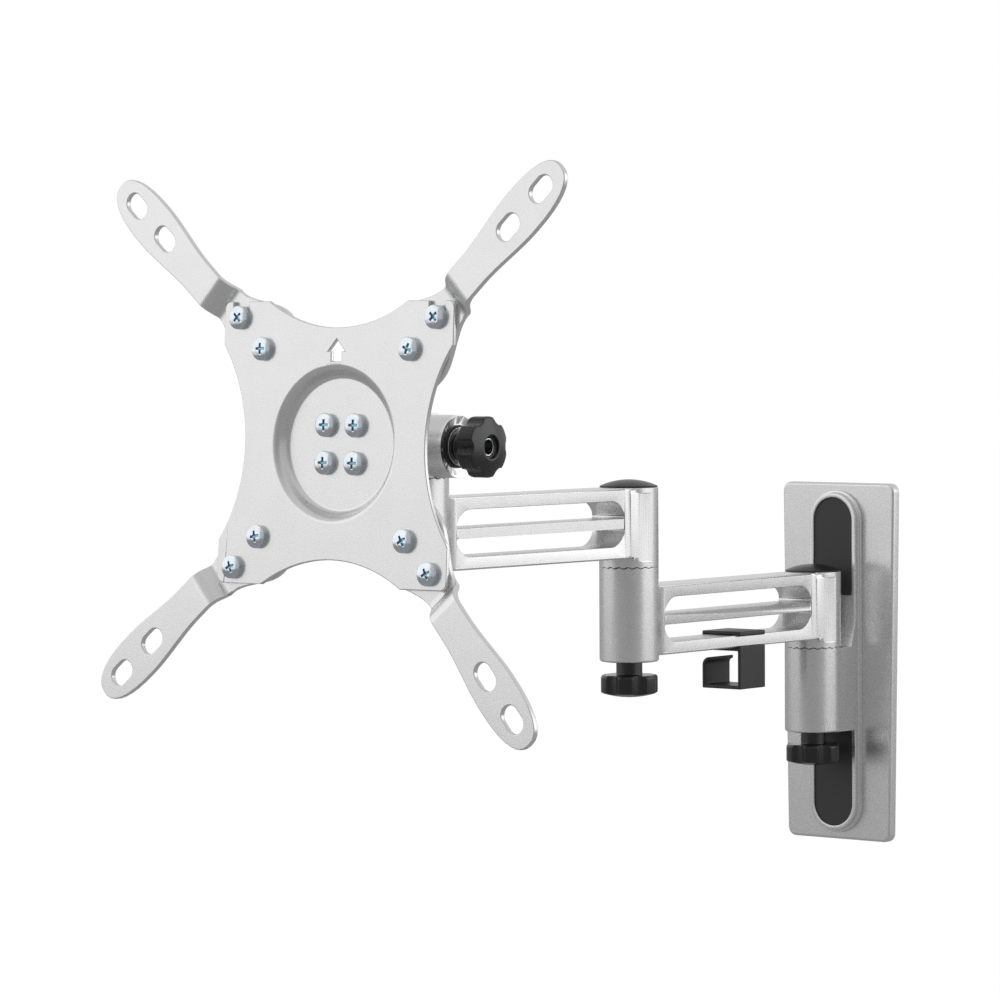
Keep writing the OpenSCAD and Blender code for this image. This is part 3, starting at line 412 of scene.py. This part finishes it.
# puts a merged, rounded copy of a node in its place, in its finish
def dress(piece, name):
    bm = bmesh.new()
    bm.from_mesh(frame["nodes"][name].data)
    bmesh.ops.remove_doubles(bm, verts=bm.verts, dist=allPieces["merge"])
    if "reshape" in piece:
        piece["reshape"](bm, name)
    flatten = piece.get("flatten", allPieces["flatten"])
    if flatten > 0:
        bmesh.ops.dissolve_limit(
            bm, angle_limit=math.radians(flatten), verts=bm.verts, edges=bm.edges)
    for rounding in piece.get("rounds", []):
        least = rounding.get("least", allPieces["least"])
        chosen = [edge for edge in bm.edges if bends(edge, least) and rounding["where"](edge)]
        roundEdges(bm, chosen, rounding["width"], rounding["steps"])
    keep = piece.get("keep", lambda point: False)
    chosen = [edge for edge in bm.edges if bends(edge, allPieces["sharp"])
              and edge.calc_length() > allPieces["shortest"] and not keep(middle(edge))]
    roundEdges(bm, chosen, piece["edge"], allPieces["steps"])
    if "inside" in piece:
        for face in bm.faces:
            if piece["inside"](face):
                face.material_index = 1
    mesh = bpy.data.meshes.new(name + "_finished")
    bm.to_mesh(mesh)
    bm.free()
    mesh.polygons.foreach_set("use_smooth", [True] * len(mesh.polygons))
    mesh.set_sharp_from_angle(angle=math.radians(allPieces["sharp"]))
    for finish in (piece["finish"], piece.get("insideFinish")):
        if finish:
            mesh.materials.append(finish)
    made = bpy.data.objects.new(name + "_finished", mesh)
    scene.collection.objects.link(made)
    weighted = made.modifiers.new("even shading", "WEIGHTED_NORMAL")
    weighted.keep_sharp = True
    if "barrels" in piece:
        smoothBarrels(made, piece["barrels"])
    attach(made, nodeBody[name])
    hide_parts(name)


# gives corners that lie on a barrel the barrel's own direction, so that it shades evenly
def smoothBarrels(made, barrels):
    evaluated = made.evaluated_get(bpy.context.evaluated_depsgraph_get())
    mesh = bpy.data.meshes.new_from_object(evaluated)
    normals = [Vector(normal.vector) for normal in mesh.corner_normals]
    for face in mesh.polygons:
        for loop in face.loop_indices:
            point = mesh.vertices[mesh.loops[loop].vertex_index].co
            for start, axis in barrels["axes"]:
                out = (point - start) - axis * (point - start).dot(axis)
                onBarrel = abs(out.length - barrels["radius"]) < barrels["within"]
                if onBarrel and face.normal.dot(out.normalized()) > barrels["facing"]:
                    normals[loop] = out.normalized()
    mesh.normals_split_custom_set(normals)
    made.modifiers.clear()
    made.data = mesh


barrels = {
    "axes": [(Vector(joints[name]["pos_m"]), Vector(joints[name]["axis"]).normalized())
             for name in ("wall_swivel", "elbow_swivel", "head_swivel", "tilt")],
    "radius": 12.7 * mm,
    "within": 0.08 * mm,  # how far from the radius a corner still belongs to the barrel
    "facing": 0.97,  # cosine within which its face looks straight out
}
# the toothed seams lie just under the tops of the bushes, and their teeth stay sharp
seams = {"bushes": ("wall_bush", "elbow_bush", "head_bush"), "under": 0.73 * mm, "half": 0.7 * mm}
seamHeights = [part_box(bush)[1][2] - seams["under"] for bush in seams["bushes"]]
# the hub at the wall end of each arm, where the beam's faces run out to the barrel's sides
hubs = {
    "lower_arm": {"axis": "wall_swivel", "next": "elbow_swivel", "cap": "wall_cap"},
    "upper_arm": {"axis": "elbow_swivel", "next": "head_swivel", "cap": "elbow_cap"},
}
beam = {
    "height": 30 * mm, "half": 8.75 * mm, "edge": 0.8 * mm,
    "run": 14.5 * mm,  # length over which its faces run out
    "reach": 14 * mm,  # faces this near the axis are cut level with the ends of its edges
    "step": 0.5 * mm,  # height in which the straight faces meet the rounded edges
    "slack": 0.05 * mm, "touch": 0.01 * mm,  # leeway up and down, and across
}


def onSeam(point):
    return any(abs(point.z - height) < seams["half"] for height in seamHeights)


# draws the beam's faces straight out to the barrel's sides at a hub
def straightenHub(bm, name):
    if name not in hubs:
        return
    start, end = (Vector(joints[hubs[name][key]]["pos_m"]) for key in ("axis", "next"))
    ahead = start - end
    ahead.z = 0
    ahead.normalize()
    place = Matrix((ahead.cross((0, 0, 1)), ahead, (0, 0, 1))).transposed().to_4x4()
    place.translation = (start.x, start.y, 0)
    toHub = place.inverted()
    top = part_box(hubs[name]["cap"])[0][2]
    low = top - beam["height"]
    edge, half, run, step = (beam[key] for key in ("edge", "half", "run", "step"))
    for height in (low + edge - step, low + edge, top - edge, top - edge + step):
        near = [face for face in bm.faces
                if (toHub @ face.calc_center_median()).xy.length < beam["reach"]]
        around = {part for face in near for part in (face, *face.edges, *face.verts)}
        bmesh.ops.bisect_plane(
            bm, geom=list(around), dist=0.001 * mm, plane_co=(0, 0, height), plane_no=(0, 0, 1))
    flare = barrels["radius"] - half
    for vert in bm.verts:
        spot = toHub @ vert.co
        straight = low + edge - beam["slack"] < spot.z < top - edge + beam["slack"]
        if straight and -run < spot.y < 0 and abs(spot.x) > half - beam["touch"]:
            spot.x = math.copysign(half + flare * (1 + spot.y / run), spot.x)
            vert.co = place @ spot


castings = {
    "finish": castSilver, "edge": 0.35 * mm, "flatten": 0,
    "reshape": straightenHub, "keep": onSeam, "barrels": barrels,
}
for name in ("wall_bracket", "lower_arm", "upper_arm", "swivel_head", "tilt_hub"):
    dress(castings, name)
print("castings dressed")

# the outer edges of the plate's front, apart from those beside the bracket and the covers
plateFront = {"y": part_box("wall_plate")[0][1], "within": 0.1 * mm, "x": 20 * mm, "z": 79 * mm}


def onPlateRim(edge):
    spot = middle(edge)
    isOuter = abs(spot.x) > plateFront["x"] or abs(spot.z) > plateFront["z"]
    return isOuter and abs(spot.y - plateFront["y"]) < plateFront["within"]


wallPlate = {
    "finish": sheetSilver, "edge": 0.3 * mm,
    "rounds": [{"width": 1.3 * mm, "steps": 4, "where": onPlateRim}],
}
dress(wallPlate, "wall_plate")
print("wall plate dressed")

# frame of the television plate: across, up and out, from the middle of its face
slotRise = 4 * mm  # from that face out to the extenders' slots
tiltAxis = Vector(joints["tilt"]["axis"]).normalized()
faceOut = Vector(mounts["television_slots"]["axis"]).normalized()
faceFrame = Matrix((-tiltAxis, faceOut.cross(-tiltAxis), faceOut)).transposed().to_4x4()
faceMiddle = Vector(mounts["television_slots"]["pos_m"]) - faceOut * slotRise
faceFrameHere = Matrix.Translation(faceMiddle) @ faceFrame
toFace = faceFrameHere.inverted()


def onFace(point):
    return toFace @ point


def fromMiddle(point):
    flat = onFace(point)
    return math.hypot(flat.x, flat.y)


# the plate's dish: between which radii its rim and its foot lie, and at what heights
dish = {
    "rim": (29 * mm, 31 * mm), "rimAbove": -0.5 * mm,
    "foot": (20 * mm, 33 * mm), "footBelow": -4.5 * mm,
}


def onDishRim(edge):
    nearest, farthest = dish["rim"]
    spot = middle(edge)
    return nearest < fromMiddle(spot) < farthest and onFace(spot).z > dish["rimAbove"]


def onDishFoot(edge):
    nearest, farthest = dish["foot"]
    spot = middle(edge)
    return nearest < fromMiddle(spot) < farthest and onFace(spot).z < dish["footBelow"]


televisionPlate = {
    "finish": sheetSilver, "edge": 0.45 * mm, "flatten": 0.05,
    "rounds": [
        {"width": 1.8 * mm, "steps": 6, "where": onDishRim},
        {"width": 1.2 * mm, "steps": 3, "where": onDishFoot},
    ],
}
dress(televisionPlate, "television_plate")

# an extender's folds: how long, level and square to it they are, and how far out they lie
folds = {"shortest": 8 * mm, "level": 0.05 * mm, "square": 0.4, "out": (72 * mm, 98 * mm)}


# whether an edge lies across an extender, where the sheet is folded
def isFold(edge):
    first, second = (onFace(vert.co) for vert in edge.verts)
    across, outward = (second - first).normalized(), ((first + second) / 2)
    outward.z = 0
    nearest, farthest = folds["out"]
    isAcross = abs(across.dot(outward.normalized())) < folds["square"]
    isLevel = abs(first.z - second.z) < folds["level"]
    isLong = edge.calc_length() > folds["shortest"]
    return isLong and isLevel and isAcross and nearest < outward.length < farthest


extender = {
    "finish": sheetSilver, "edge": 0.45 * mm,
    "rounds": [{"width": 3.2 * mm, "steps": 6, "least": 20, "where": isFold}],
}
for corner in ("upper_left", "upper_right", "lower_left", "lower_right"):
    dress(extender, "extender_" + corner)
print("television plate and extenders dressed")

cover = {"finish": coverGrey, "edge": 0.25 * mm}
for name in ("upper_cover", "lower_cover"):
    dress(cover, name)
knob = {"finish": knobBlack, "edge": 0.5 * mm}
for name in ("wall_knob", "elbow_knob", "tilt_knob"):
    dress(knob, name)
cap = {"finish": capBlack, "edge": 0.2 * mm}
for name in ("wall_cap", "elbow_cap", "tilt_cap", "tilt_seat", "friction_washers"):
    dress(cap, name)
cableClip = {"finish": clipBlack, "edge": 0.5 * mm}
dress(cableClip, "cable_clip")
print("plastics and clip dressed")

# pan heads: their height against the node's, and where the screws stand on the plate
panHeads = {
    "height": 0.72,
    "dishDepth": 5 * mm, "dishRadius": 20 * mm,  # the middle four stand in the dish
    "squares": (7.5 * mm, 37.5 * mm, 50 * mm),  # half the side of each square of screws
    # the cross, in the node's own height
    "crossLow": 2.2 * mm, "crossHigh": 3.45 * mm, "crossRadius": 2.3 * mm,
}


# height above the seat that a screw's head stands on
def aboveSeat(spot):
    inDish = math.hypot(spot.x, spot.y) < panHeads["dishRadius"]
    return spot.z + (panHeads["dishDepth"] if inDish else 0)


def lowerHeads(bm, name):
    for vert in bm.verts:
        spot = onFace(vert.co)
        above = aboveSeat(spot)
        if above > 0:
            spot.z -= above * (1 - panHeads["height"])
            vert.co = faceFrameHere @ spot


# whether a face lies in the cross of a screw's head
def inCross(face):
    spot = onFace(face.calc_center_median())
    nearest = min(math.hypot(abs(spot.x) - half, abs(spot.y) - half)
                  for half in panHeads["squares"])
    low, high = (panHeads[key] * panHeads["height"] for key in ("crossLow", "crossHigh"))
    return low < aboveSeat(spot) < high and nearest < panHeads["crossRadius"]


headScrews = {
    "finish": zincSteel, "edge": 0.12 * mm,
    "reshape": lowerHeads, "inside": inCross, "insideFinish": blueZinc,
}
for name in ("centre_screws", "plate_screws"):
    dress(headScrews, name)
tiltBolt = {"finish": blackSteel, "edge": 0.12 * mm}
dress(tiltBolt, "tilt_bolt")
zincPieces = {"finish": zincSteel, "edge": 0.12 * mm}
for name in ("bracket_screws", "wall_washer", "wall_bolt", "elbow_washer", "elbow_bolt",
             "head_washer", "head_stud", "head_nut", "plate_nuts", "tilt_knob_insert"):
    dress(zincPieces, name)
polishedPieces = {"finish": polishedSteel, "edge": 0.1 * mm}
for name in ("bevel_ring", "tilt_washer"):
    dress(polishedPieces, name)
bush = {"finish": whiteNylon, "edge": 0.1 * mm}
for name in ("wall_bush", "elbow_bush", "head_bush"):
    dress(bush, name)
knobSleeve = {"finish": turnedBrass, "edge": 0.06 * mm}
for name in ("wall_knob_insert", "elbow_knob_insert"):
    dress(knobSleeve, name)
print("small metal pieces dressed")
